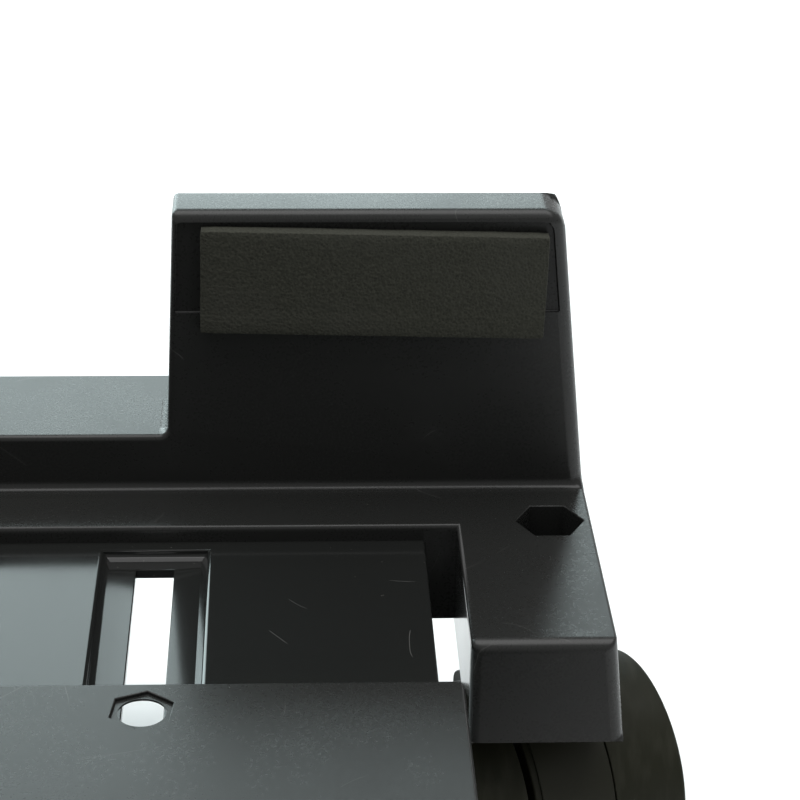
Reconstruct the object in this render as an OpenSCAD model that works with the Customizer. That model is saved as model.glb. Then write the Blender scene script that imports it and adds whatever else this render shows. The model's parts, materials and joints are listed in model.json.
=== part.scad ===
// Computer tower stand: two moulded halves that slide together over a slotted tongue,
// four foam pads on the corner uprights, four twin-wheel swivel casters and one lock bolt.
// Millimetres. +X runs along the tower, +Y points to the rear half, +Z is up.
// The origin is on the floor, under the middle of the stand at its drawn width.

/* [Deck] */
// Width across the flats of the nut pockets in the deck's corners
hex_af = 13; // [12.8:0.1:13.2]
// Half of the deck's length along X, measured at the deck face
half_len = 180; // [178:0.5:186]
// Height of the deck face above the floor
deck_z = 78.3; // [78:0.1:80]
// Height of the skirt round the deck
skirt_h = 23.9; // [22:0.1:24.2]
// Wall thickness of both mouldings
wall_t = 3; // [2.6:0.1:3.2]
// Outward slope of the two ends, in degrees
end_draft = 6; // [4:0.5:7]

/* [Walls and uprights] */
// Distance from the stand's middle to a wall's inner face
face_y = 108.9; // [108:0.1:111]
// Height of the low wall above the deck
low_wall_h = 13.1; // [12:0.1:15]
// Depth of the low wall's top
low_wall_d = 31; // [29:0.5:32]
// Height of the corner uprights above the deck
upright_h = 66.4; // [60:0.1:70]
// Depth of an upright's top
upright_top_d = 11.4; // [10.5:0.1:13]
// Distance from the stand's middle to an upright's inner side, at its foot
upright_x = 87.1; // [84:0.1:90]
// Depth of the shallow recess that takes the foam pad
recess_d = 0.8; // [0.5:0.1:1]

/* [Sliding joint] */
// Distance from the stand's middle to the edge of the rear deck
deck_edge_y = 91.3; // [91:0.1:91.6]
// Distance from the stand's middle to the arms' ends
arm_end_y = 42.5; // [42.4:0.1:43.5]
// Half width of the tongue
tongue_x = 143.4; // [142:0.1:143.6]
// Step from the deck face down to the tongue
tongue_drop = 3.8; // [3.7:0.1:4]
// Distance from the stand's middle to a channel's middle
channel_x = 84.9; // [80:0.1:90]
// Width of a channel's floor
channel_w = 19.8; // [19.8:0.1:21]
// Width of the slot in a channel's floor
slot_w = 8.2; // [8.2:0.1:9]
// Distance from the stand's middle to the free edge of the front plate
plate_edge_y = 29.7; // [29:0.1:30.2]

/* [Foam pads] */
// Length of a foam pad
pad_w = 74.4; // [70:0.1:76]
// Height of a foam pad
pad_h = 23.8; // [22:0.1:25]
// Thickness of a foam pad
pad_t = 3.6; // [3:0.1:4]
// Tilt of the pad on the rear right upright, in degrees, as it was stuck on by hand
pad_tilt = 1.3; // [0:0.1:1.5]

/* [Casters] */
// Radius of a caster wheel
wheel_r = 25; // [24:0.1:25]
// Width of a caster wheel
wheel_w = 16.4; // [15:0.1:17]
// Width of a caster's body, between its wheels
hub_w = 16.6; // [16.2:0.1:17]
// Distance from the swivel axis back to the axle
trail = 18; // [16:0.1:19]
// Distance from the stand's middle to a swivel axis, along X
stem_x = 161.1; // [160.5:0.1:162]
// Distance from the stand's middle to a swivel axis, along Y
stem_y = 87.6; // [87:0.1:88]
// Heading of the rear casters, in degrees from straight back, toed outwards
rear_heading = 20; // [15:1:20]
// Heading of the front casters, in degrees from straight back, toed outwards
front_heading = 8; // [0:1:12]

/* [Lock bolt] */
// Diameter of the bolt's shank
bolt_d = 6.3; // [6:0.1:6.4]
// Width across the flats of the plate's hex pockets
pocket_af = 11.3; // [11:0.1:11.6]
// Span of the wing knob
knob_span = 40; // [34:1:44]

/* [Hidden] */

$fn = 64;
eps = 0.01;
past = 5;                                  // how far a cutter runs past the face that it cuts
far = 200;                                 // reaches past every part
black = [0.11, 0.11, 0.105];
foam_grey = [0.2, 0.205, 0.185];
steel = [0.62, 0.63, 0.64];

// Heights
skirt_z = deck_z - skirt_h;                // bottom of both mouldings
deck_under_z = deck_z - wall_t;
low_wall_z = deck_z + low_wall_h;
top_z = deck_z + upright_h;
tongue_z = deck_z - tongue_drop;
tongue_t = 2.8;
channel_depth = 3;
channel_floor_z = tongue_z - channel_depth;
channel_floor_t = 2.3;
channel_under_z = channel_floor_z - channel_floor_t;

// Walls and uprights
low_wall_back_y = face_y + low_wall_d;
back_lean = 1.8;                           // the back leans out towards its foot
skirt_back_y = low_wall_back_y + back_lean;
out_x = half_len + 20;                     // beyond the sloping ends
upright_foot_d = 18;                       // depth of an upright where it leaves the low wall
upright_slope = 0.0405;                    // how far its inner side leans in, for each mm of height
upright_fillet = 2;
recess_low = 42.9;                         // the recess's edges, above the deck
recess_high = 64.1;
recess_in = 0.9;                           // rims between the recess and the upright's two sides
recess_out = 2.6;
pad_mid_x = 132.3;
pad_mid_z = deck_z + 50.45;
rear_left_tilt = -0.5;                     // the other three pads' tilts, in degrees
front_right_tilt = 0.4;
front_left_tilt = -0.7;
rib_y = face_y + 12.5;                     // stiffening ribs under the low wall, clear of the tongue
rib_low_z = skirt_z + 4;
rib_t = 2;
rib_pitch = 60;
rib_bury = 0.5;                            // how far a rib runs into the walls that it joins

// Sliding joint
arm_x = 150.3;                             // inner side of a rear arm
plate_x = 148.1;                           // side of the front plate
plate_skirt_in = plate_x - wall_t;
plate_t = 3.4;
plate_skirt_low = deck_z - 18;
tongue_end_y = -34;
channel_end_y = 89.5;
channel_end_t = 2;
channel_lip_t = 1.4;                       // what the channel's end keeps of its length
channel_flare = 1.7;                       // how far each channel wall leans out to the tongue's face
slot_far_y = 84.8;
slot_near_y = -24;
lock_x = 85.4;
lock_y = 20.3;
lock_hole_r = 4.75;
pocket_turn = 23;                          // how far the plate's hex pockets are turned, in degrees
pocket_depth = 0.7;
plate_web_t = 0.4;                         // plate left at the edge of the lock hole
guide_w = 19;
guide_near_y = -20;
guide_far_y = 10;
guide_low_z = channel_floor_z + 0.7;
relief_r = 8.25;                           // foot of the countersink under the lock hole

// Nut pockets in the deck's corners
well_x = 170.9;
well_y = 93.1;
well_depth = 8;
well_boss_r = 9.8;
well_floor_t = 1.8;

// Stem sockets
boss_r = 10;
socket_r = 6.95;
socket_bore_r = 4.05;
socket_gap = 0.05;                         // round the socket in its boss
socket_top_z = deck_z - 10;
socket_flange_r = 9;
socket_flange_t = 1.3;
stem_r = 4;
stem_top_z = socket_top_z - 2.2;
stem_top_gap = 0.5;                        // above the stem in its socket
stem_ring_z = stem_top_z - 4;              // groove of the stem's spring ring
stem_ring_h = 1.6;
stem_ring_d = 0.6;
fixed_gap = 0.02;                          // round a pin or stem that is fixed in its body

// Casters
hub_r = wheel_r - 0.2;
hub_foot_z = 7;                            // the body is cut off flat above the floor
neck_r = 8;
crown_drop = 4;                            // from the body's top down to its flat shoulder
neck_top_z = skirt_z - socket_flange_t - 0.2;
stem_low_z = 34;
hub_shift = 0.3;                           // gap between the body and its outer wheel
wheel_play = 3.5;                          // gap between the body and its inner wheel
collar_t = 1.5;                            // raised ring on the body's inner face
collar_r = 24.3;
hub_pocket_r = 16;                         // ring-shaped pockets in the body's two sides
hub_boss_r = 6;
outer_pocket_d = 6;
inner_pocket_d = 5;
axle_r = 2.5;
axle_bore_r = 2.55;
axle_grip = 13;                            // how deep the axle runs into a wheel
axle_end_gap = 0.3;
wheel_web_t = 3;
lever_pin_r = 1.5;
lever_pin_gap = 0.06;
lever_eye_r = 3.6;
lever_pin_y = 5;                           // brake pin, ahead of the swivel axis, and its height
lever_pin_z = 21;
lever_w = 9.4;
lever_notch_w = 10;

// Lock bolt
head_t = 2.2;
washer_t = 1.6;
washer_r = 12;
washer_gap = 0.3;                          // over the washer, and round the shank in it
washer_top_z = channel_under_z - washer_gap;
bolt_low_z = deck_z - 28;
knob_h = 13;
knob_hub_r = 8;
knob_bore_r = bolt_d / 2 + 0.05;
knob_gap = 0.2;                            // between the washer and the knob
head_play = 0.4;                           // of the bolt's head across the pocket

// Extrudes a polygon of (y, z) points along X, from -length/2 to length/2
module along_x(length) {
  rotate([90, 0, 90]) linear_extrude(length, center = true) children();
}

// Extrudes a polygon of (x, z) points along Y, from y0 to y1
module along_y(y0, y1) {
  translate([0, y1, 0]) rotate([90, 0, 0]) linear_extrude(y1 - y0) children();
}

module both_sides() {
  children();
  mirror([1, 0, 0]) children();
}

// Everything between the two sloping ends, moved in by inset
module between_ends(inset) {
  low_x = half_len + (deck_z - skirt_z + past) * tan(end_draft) - inset;
  high_x = half_len - (top_z + past - deck_z) * tan(end_draft) - inset;
  intersection() {
    children();
    along_y(-far, far)
      polygon([[-low_x, skirt_z - past], [low_x, skirt_z - past],
               [high_x, top_z + past], [-high_x, top_z + past]]);
  }
}

// Deck edge, low wall and back, as a solid bar along X; y0 is its inner edge
module bar(y0) {
  along_x(2 * out_x)
    polygon([[y0, skirt_z], [y0, deck_z], [face_y, deck_z], [face_y, low_wall_z],
             [low_wall_back_y, low_wall_z], [skirt_back_y, skirt_z]]);
}

module bar_hollow() {
  along_x(2 * out_x)
    polygon([[deck_edge_y + wall_t, skirt_z - past],
             [deck_edge_y + wall_t, deck_under_z],
             [face_y + wall_t, deck_under_z],
             [face_y + wall_t, low_wall_z - wall_t],
             [low_wall_back_y - wall_t, low_wall_z - wall_t],
             [skirt_back_y - wall_t, skirt_z],
             [skirt_back_y - wall_t, skirt_z - past]]);
}

// Outer end of the deck or an upright at height z
function end_side(z) = half_len - (z - deck_z) * tan(end_draft);

// Inner side of an upright, and the fillet at its foot from the side down to the low wall
function upright_side(z) = upright_x + (z - low_wall_z) * upright_slope;
function foot_fillet(steps) = [for (i = [0 : steps])
  let (a = -90 * i / steps)
  [upright_x + upright_fillet * (cos(a) - 1), low_wall_z + upright_fillet * (sin(a) + 1)]];

module upright() {
  low_z = low_wall_z - wall_t;
  intersection() {
    along_y(face_y, low_wall_back_y)
      polygon(concat([[out_x, low_z], [out_x, top_z], [upright_side(top_z), top_z]],
                     foot_fillet(8),
                     [[upright_x - upright_fillet, low_z]]));
    along_x(2 * out_x)
      polygon([[face_y, low_z], [face_y, top_z], [face_y + upright_top_d, top_z],
               [face_y + upright_foot_d, low_wall_z], [face_y + upright_foot_d, low_z]]);
  }
}

module upright_hollow() {
  in_y = face_y + wall_t;
  intersection() {
    along_y(face_y, low_wall_back_y)
      polygon([[out_x, deck_under_z], [out_x, top_z - wall_t],
               [upright_side(top_z) + wall_t, top_z - wall_t],
               [upright_side(low_wall_z) + wall_t, deck_under_z]]);
    along_x(2 * out_x)
      polygon([[in_y, deck_under_z], [in_y, top_z - wall_t],
               [face_y + upright_top_d - wall_t, top_z - wall_t],
               [face_y + upright_foot_d - wall_t, low_wall_z],
               [face_y + upright_foot_d - wall_t, deck_under_z]]);
  }
}

module pad_recess() {
  low_z = deck_z + recess_low;
  high_z = deck_z + recess_high;
  along_y(face_y - past, face_y + recess_d)
    polygon([[upright_side(low_z) + recess_in, low_z], [end_side(low_z) - recess_out, low_z],
             [end_side(high_z) - recess_out, high_z], [upright_side(high_z) + recess_in, high_z]]);
}

// A hollow corner arm from the deck's skirt to its free end, as a solid or as its hollow
module arm(side_x) {
  translate([side_x, arm_end_y, skirt_z])
    cube([out_x - side_x, deck_edge_y + eps - arm_end_y, skirt_h]);
}

module arm_hollow(side_x) {
  translate([side_x + wall_t, arm_end_y + wall_t, skirt_z - past])
    cube([out_x - side_x, deck_edge_y - arm_end_y + past, skirt_h + past - wall_t]);
}

// Hollow shell that both halves share: bar, uprights and arms; arm_in is an arm's inner side
module half_shell(arm_in) {
  difference() {
    between_ends(0) {
      union() {
        bar(deck_edge_y);
        both_sides() {
          upright();
          arm(arm_in);
        }
      }
    }
    between_ends(wall_t) {
      union() {
        bar_hollow();
        both_sides() {
          upright_hollow();
          arm_hollow(arm_in);
        }
      }
    }
    both_sides() {
      pad_recess();
      nut_pocket();
    }
  }
  both_sides() {
    well_boss();
    socket_boss();
  }
  for (i = [-2 : 2])
    back_rib(i * rib_pitch);
}

module nut_pocket() {
  translate([well_x, well_y, deck_z - well_depth])
    cylinder(r = hex_af / 2 / cos(30), h = well_depth + past, $fn = 6);
}

module well_boss() {
  low_z = deck_z - well_depth - well_floor_t;
  difference() {
    translate([well_x, well_y, low_z]) cylinder(r = well_boss_r, h = deck_under_z + eps - low_z);
    nut_pocket();
  }
}

module socket_boss() {
  difference() {
    translate([stem_x, stem_y, skirt_z]) cylinder(r = boss_r, h = deck_under_z + eps - skirt_z);
    translate([stem_x, stem_y, skirt_z - past])
      cylinder(r = socket_r + socket_gap, h = socket_top_z + 2 * socket_gap - skirt_z + past);
    nut_pocket();
  }
}

// A stiffening rib across the back of the bar, clear of the sliding tongue
module back_rib(x) {
  translate([x - rib_t / 2, rib_y, rib_low_z])
    cube([rib_t, low_wall_back_y - wall_t + rib_bury - rib_y,
          low_wall_z - wall_t + rib_bury - rib_low_z]);
}

// One channel's walls and floor under the tongue, as a solid and as the space in it
module channel_solid() {
  w = channel_w / 2 + channel_floor_t;
  translate([channel_x - w, tongue_end_y, channel_under_z])
    cube([2 * w, channel_end_y + channel_end_t - tongue_end_y, tongue_z - channel_under_z]);
}

module channel_space() {
  w = channel_w / 2;
  top_w = w + channel_flare;
  along_y(tongue_end_y - past, channel_end_y - channel_lip_t)
    polygon([[channel_x - w, channel_floor_z], [channel_x + w, channel_floor_z],
             [channel_x + top_w, tongue_z + eps], [channel_x - top_w, tongue_z + eps]]);
  translate([channel_x - slot_w / 2, slot_near_y, channel_under_z - past])
    cube([slot_w, slot_far_y - slot_near_y, 2 * past]);
}

module tongue() {
  difference() {
    union() {
      translate([-tongue_x, tongue_end_y, tongue_z - tongue_t])
        cube([2 * tongue_x, deck_edge_y + eps - tongue_end_y, tongue_t]);
      both_sides() channel_solid();
    }
    both_sides() channel_space();
  }
}

// The deck's inner skirt stops short of the tongue, so that the channels are open from below
module rear_half() {
  skirt_stop_x = tongue_x - wall_t;
  color(black) {
    difference() {
      half_shell(arm_x);
      translate([-skirt_stop_x, deck_edge_y - past, skirt_z - past])
        cube([2 * skirt_stop_x, past + wall_t + eps, tongue_z - tongue_t - skirt_z + past]);
    }
    tongue();
  }
}

// The front plate that covers the tongue, with its side skirts, guides and lock holes
module plate() {
  difference() {
    union() {
      translate([-plate_x, -deck_edge_y - wall_t, deck_z - plate_t])
        cube([2 * plate_x, deck_edge_y + wall_t + plate_edge_y, plate_t]);
      both_sides() {
        translate([plate_skirt_in, -arm_end_y - eps, plate_skirt_low])
          cube([plate_x - plate_skirt_in, arm_end_y + plate_edge_y + eps, deck_z - plate_skirt_low]);
        translate([channel_x - guide_w / 2, guide_near_y, guide_low_z])
          cube([guide_w, guide_far_y - guide_near_y, deck_z - plate_t + eps - guide_low_z]);
      }
    }
    both_sides() translate([lock_x, lock_y, 0]) {
      translate([0, 0, deck_z - pocket_depth])
        rotate([0, 0, pocket_turn]) cylinder(r = pocket_af / 2 / cos(30), h = past, $fn = 6);
      translate([0, 0, guide_low_z - past]) cylinder(r = lock_hole_r, h = deck_z);
      translate([0, 0, deck_z - plate_t - eps])
        cylinder(r1 = relief_r, r2 = lock_hole_r, h = plate_t - pocket_depth - plate_web_t + eps);
    }
  }
}

module front_half() {
  color(black) {
    difference() {
      mirror([0, 1, 0]) half_shell(plate_skirt_in);
      translate([-plate_skirt_in, -deck_edge_y - wall_t - eps, skirt_z - past])
        cube([2 * plate_skirt_in, wall_t + 2 * eps + past, skirt_h + past - wall_t]);
    }
    plate();
  }
}

// Mirrors children from the rear right corner to another: side is 1 right or -1 left,
// half is 1 rear or -1 front
module at_half(side, half) {
  mirror([side < 0 ? 1 : 0, 0, 0]) mirror([0, half < 0 ? 1 : 0, 0]) children();
}

// A foam pad in its recess; its lower edge lies over the recess's step
module foam_pad(side, half, tilt) {
  color(foam_grey)
    at_half(side, half) difference() {
      translate([pad_mid_x, face_y + recess_d - pad_t / 2, pad_mid_z])
        rotate([0, tilt, 0]) cube([pad_w, pad_t, pad_h], center = true);
      translate([pad_mid_x - pad_w, face_y, deck_z + recess_low - pad_h])
        cube([2 * pad_w, past, pad_h]);
    }
}

module stem_socket(side, half) {
  color(steel)
    translate([side * stem_x, half * stem_y, 0]) difference() {
      union() {
        translate([0, 0, skirt_z - socket_flange_t])
          cylinder(r = socket_flange_r, h = socket_flange_t);
        translate([0, 0, skirt_z - eps]) cylinder(r = socket_r, h = socket_top_z - skirt_z);
      }
      translate([0, 0, skirt_z - past])
        cylinder(r = socket_bore_r, h = stem_top_z + stem_top_gap - skirt_z + past);
    }
}

// Casters stand on the floor round the swivel axis, trail towards -Y and face outwards along +X
module at_caster(side, half) {
  translate([side * stem_x, half * stem_y, 0])
    mirror([side < 0 ? 1 : 0, 0, 0])
      rotate([0, 0, half > 0 ? rear_heading : front_heading]) children();
}

// A disc or ring about the axle, from x0 outwards
module on_axle(x0) {
  translate([x0, -trail, wheel_r]) rotate([0, 90, 0]) children();
}

module caster_body(side, half) {
  braked = half < 0;
  half_w = hub_w / 2;
  cheek_d = 9;
  cheek_low_z = 14;
  cheek_top_z = 28;
  color(black)
    at_caster(side, half) difference() {
      union() {
        on_axle(-half_w) cylinder(r = hub_r, h = hub_w, $fn = 96);
        on_axle(-half_w - collar_t) cylinder(r = collar_r, h = collar_t + eps, $fn = 96);
        translate([0, 0, wheel_r]) cylinder(r = neck_r, h = neck_top_z - wheel_r);
        translate([-half_w, -trail, wheel_r]) cube([hub_w, trail, hub_r - crown_drop]);
        if (braked)
          translate([-half_w, -neck_r, cheek_low_z])
            cube([hub_w, neck_r + cheek_d, cheek_top_z - cheek_low_z]);
      }
      translate([-far, -far, -past]) cube([2 * far, 2 * far, hub_foot_z + past]);
      translate([0, 0, stem_low_z]) cylinder(r = stem_r + fixed_gap, h = deck_z);
      on_axle(-far) cylinder(r = axle_r + fixed_gap, h = 2 * far);
      hub_pocket(half_w - outer_pocket_d, outer_pocket_d + past);
      hub_pocket(-half_w - collar_t - past, past + collar_t + inner_pocket_d);
      if (braked) {
        translate([-lever_notch_w / 2, 0.5, cheek_low_z - past])
          cube([lever_notch_w, 2 * cheek_d, cheek_top_z - cheek_low_z + 2 * past]);
        at_lever_pin(-far) cylinder(r = lever_pin_r + fixed_gap, h = 2 * far);
      }
    }
}

// Ring-shaped pocket in the body's side, hidden by the wheel beside it
module hub_pocket(x0, depth) {
  on_axle(x0) difference() {
    cylinder(r = hub_pocket_r, h = depth);
    translate([0, 0, -1]) cylinder(r = hub_boss_r, h = depth + 2);
  }
}

module at_lever_pin(x0) {
  translate([x0, lever_pin_y, lever_pin_z]) rotate([0, 90, 0]) children();
}

module stem(side, half) {
  color(steel)
    at_caster(side, half) difference() {
      translate([0, 0, stem_low_z]) cylinder(r = stem_r, h = stem_top_z - stem_low_z);
      translate([0, 0, stem_ring_z]) difference() {
        cylinder(r = stem_r + 1, h = stem_ring_h);
        translate([0, 0, -1]) cylinder(r = stem_r - stem_ring_d, h = stem_ring_h + 2);
      }
    }
}

module axle(side, half) {
  outer_end = hub_w / 2 + hub_shift + axle_grip - axle_end_gap;
  inner_end = hub_w / 2 + wheel_play + axle_grip - axle_end_gap;
  color(steel)
    at_caster(side, half) on_axle(-inner_end) cylinder(r = axle_r, h = outer_end + inner_end);
}

// Half section of a wheel: radius first, then the distance from its inner face
function round_corner(r, z, radius, start) = [for (i = [0 : 6])
  let (a = start + 90 * i / 6)
  [r - radius + radius * cos(a), z + radius * sin(a)]];

module wheel() {
  hub = 6.5;
  rim = wheel_r - 3.5;
  face = wheel_w - 2;                      // the dish between the rim and the hub cap
  cap = wheel_w - 0.4;
  inner_round = 0.8;
  outer_round = 2.2;
  rotate([0, 90, 0]) rotate_extrude($fn = 128)
    polygon(concat([[axle_bore_r, 0], [hub, 0], [hub, face - wheel_web_t], [rim, face - wheel_web_t],
                    [rim, 0]],
                   round_corner(wheel_r, inner_round, inner_round, -90),
                   round_corner(wheel_r, wheel_w - outer_round, outer_round, 0),
                   [[rim - 0.7, wheel_w], [rim - 1.7, face], [hub + 2.5, face], [hub + 1.9, cap],
                    [0, cap], [0, axle_grip], [axle_bore_r, axle_grip]]));
}

module outer_wheel(side, half) {
  color(black)
    at_caster(side, half) translate([hub_w / 2 + hub_shift, -trail, wheel_r]) wheel();
}

module inner_wheel(side, half) {
  color(black)
    at_caster(side, half) translate([-hub_w / 2 - wheel_play, -trail, wheel_r])
      mirror([1, 0, 0]) wheel();
}

// Foot pedal that swings down between the wheels and wedges them
module brake_lever(side) {
  pedal_w = 26;
  pedal_y = lever_pin_y + 8;
  pedal_d = 8;
  lever_t = 3.4;
  color(black)
    at_caster(side, -1) difference() {
      union() {
        at_lever_pin(-lever_w / 2) cylinder(r = lever_eye_r, h = lever_w);
        translate([-lever_w / 2, lever_pin_y, lever_pin_z - lever_t / 2])
          cube([lever_w, pedal_y + 1 - lever_pin_y, lever_t]);
        translate([-pedal_w / 2, pedal_y, lever_pin_z - lever_t / 2])
          cube([pedal_w, pedal_d, lever_t]);
      }
      at_lever_pin(-far) cylinder(r = lever_pin_r + lever_pin_gap, h = 2 * far);
    }
}

module brake_pin(side) {
  color(steel)
    at_caster(side, -1) at_lever_pin(-hub_w / 2) cylinder(r = lever_pin_r, h = hub_w);
}

// The lock bolt drops into the left pocket; washer and knob hold it from under the tongue
module at_lock() {
  translate([-lock_x, lock_y, 0]) children();
}

module lock_bolt() {
  head_z = deck_z - pocket_depth;
  color(steel)
    at_lock() {
      translate([0, 0, head_z]) rotate([0, 0, -pocket_turn])
        cylinder(r = (pocket_af - head_play) / 2 / cos(30), h = head_t, $fn = 6);
      translate([0, 0, bolt_low_z]) cylinder(r = bolt_d / 2, h = head_z + eps - bolt_low_z);
    }
}

module lock_washer() {
  color(steel)
    at_lock() translate([0, 0, washer_top_z - washer_t]) difference() {
      cylinder(r = washer_r, h = washer_t);
      translate([0, 0, -1]) cylinder(r = bolt_d / 2 + washer_gap, h = washer_t + 2);
    }
}

module lock_knob() {
  top = washer_top_z - washer_t - knob_gap;
  wing_t = 5;
  wing_h = knob_h - 2;
  wing_r = knob_span / 2 - wing_t / 2;
  color(black)
    at_lock() translate([0, 0, top - knob_h]) difference() {
      union() {
        cylinder(r = knob_hub_r, h = knob_h);
        translate([-wing_r, -wing_t / 2, 0]) cube([2 * wing_r, wing_t, wing_h]);
        for (x = [-wing_r, wing_r])
          translate([x, 0, 0]) cylinder(r = wing_t / 2, h = wing_h);
      }
      translate([0, 0, -1]) cylinder(r = knob_bore_r, h = knob_h + 2);
    }
}

rear_half();
front_half();
foam_pad(1, 1, pad_tilt);  // foam_pad_rear_right
foam_pad(-1, 1, rear_left_tilt);  // foam_pad_rear_left
foam_pad(1, -1, front_right_tilt);  // foam_pad_front_right
foam_pad(-1, -1, front_left_tilt);  // foam_pad_front_left
stem_socket(1, 1);  // stem_socket_rear_right
stem_socket(-1, 1);  // stem_socket_rear_left
stem_socket(1, -1);  // stem_socket_front_right
stem_socket(-1, -1);  // stem_socket_front_left
caster_body(1, 1);  // caster_body_rear_right
caster_body(-1, 1);  // caster_body_rear_left
caster_body(1, -1);  // caster_body_front_right
caster_body(-1, -1);  // caster_body_front_left
stem(1, 1);  // stem_rear_right
stem(-1, 1);  // stem_rear_left
stem(1, -1);  // stem_front_right
stem(-1, -1);  // stem_front_left
axle(1, 1);  // axle_rear_right
axle(-1, 1);  // axle_rear_left
axle(1, -1);  // axle_front_right
axle(-1, -1);  // axle_front_left
outer_wheel(1, 1);  // outer_wheel_rear_right
outer_wheel(-1, 1);  // outer_wheel_rear_left
outer_wheel(1, -1);  // outer_wheel_front_right
outer_wheel(-1, -1);  // outer_wheel_front_left
inner_wheel(1, 1);  // inner_wheel_rear_right
inner_wheel(-1, 1);  // inner_wheel_rear_left
inner_wheel(1, -1);  // inner_wheel_front_right
inner_wheel(-1, -1);  // inner_wheel_front_left
brake_lever(1);  // brake_lever_front_right
brake_lever(-1);  // brake_lever_front_left
brake_pin(1);  // brake_pin_front_right
brake_pin(-1);  // brake_pin_front_left
lock_bolt();
lock_washer();
lock_knob();
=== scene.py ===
"""Looks of an adjustable computer tower stand on casters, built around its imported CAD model.

Lengths are in metres, in the CAD model's own frame: +X along the tower, +Y to the rear half, +Z up.
"""

import json
import math

import bmesh
import bpy
from mathutils import Matrix, Vector, noise


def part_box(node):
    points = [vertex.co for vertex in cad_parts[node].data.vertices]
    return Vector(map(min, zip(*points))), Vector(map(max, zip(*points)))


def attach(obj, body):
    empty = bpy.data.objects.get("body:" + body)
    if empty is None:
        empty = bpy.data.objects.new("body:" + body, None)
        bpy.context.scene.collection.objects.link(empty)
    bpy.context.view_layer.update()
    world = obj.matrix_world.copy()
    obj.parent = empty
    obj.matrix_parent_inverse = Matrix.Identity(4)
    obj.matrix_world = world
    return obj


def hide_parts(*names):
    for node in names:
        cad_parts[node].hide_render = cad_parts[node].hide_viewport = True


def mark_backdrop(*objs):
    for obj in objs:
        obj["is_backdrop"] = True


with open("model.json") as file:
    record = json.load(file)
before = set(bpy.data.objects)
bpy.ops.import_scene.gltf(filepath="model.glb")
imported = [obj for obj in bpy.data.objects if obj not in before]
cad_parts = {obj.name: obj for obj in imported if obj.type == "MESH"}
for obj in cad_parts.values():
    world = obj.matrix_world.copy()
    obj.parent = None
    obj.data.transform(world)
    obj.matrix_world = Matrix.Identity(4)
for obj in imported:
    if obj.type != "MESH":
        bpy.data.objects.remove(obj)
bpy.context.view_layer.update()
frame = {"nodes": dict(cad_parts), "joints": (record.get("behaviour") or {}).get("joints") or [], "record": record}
MM = 0.001

MOUNTS = {mount["name"]: mount for mount in frame["record"]["mounts"]}
JOINTS = {joint["name"]: joint for joint in frame["joints"]}
CORNERS = ("rear_right", "rear_left", "front_right", "front_left")

# Heights and places on the two halves, as the CAD has them. They tell the shells' edges apart.
DECK_Z = MOUNTS["deck_rear"]["pos_m"][2]
TOP_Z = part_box("rear_half")[1].z
WALL_Z = DECK_Z + 13.1 * MM
TONGUE_Z = DECK_Z - 3.8 * MM
CHANNEL_FLOOR_Z = TONGUE_Z - 3.0 * MM
FACE_Y = 108.9 * MM
DECK_EDGE_Y = 91.3 * MM
ARM_END_Y = 42.5 * MM
ARM_X = 150.3 * MM
PLATE_X = 148.1 * MM
PLATE_EDGE_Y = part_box("front_half")[1].y
TONGUE_X = 143.4 * MM
TONGUE_END_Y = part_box("rear_half")[0].y
END_X = 180.0 * MM
END_SLOPE = math.tan(math.radians(6.0))
INNER_SIDE_X = 87.1 * MM
INNER_SIDE_SLOPE = 0.0405
RECESS_Z = (DECK_Z + 42.9 * MM, DECK_Z + 64.1 * MM)
RECESS_DEPTH = 0.8 * MM

# The widest edge radius, at the uprights' top outer corners. Bevel weights are fractions of it.
WIDEST_RADIUS = 4.6 * MM


# ---------------------------------------------------------------- materials

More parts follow.
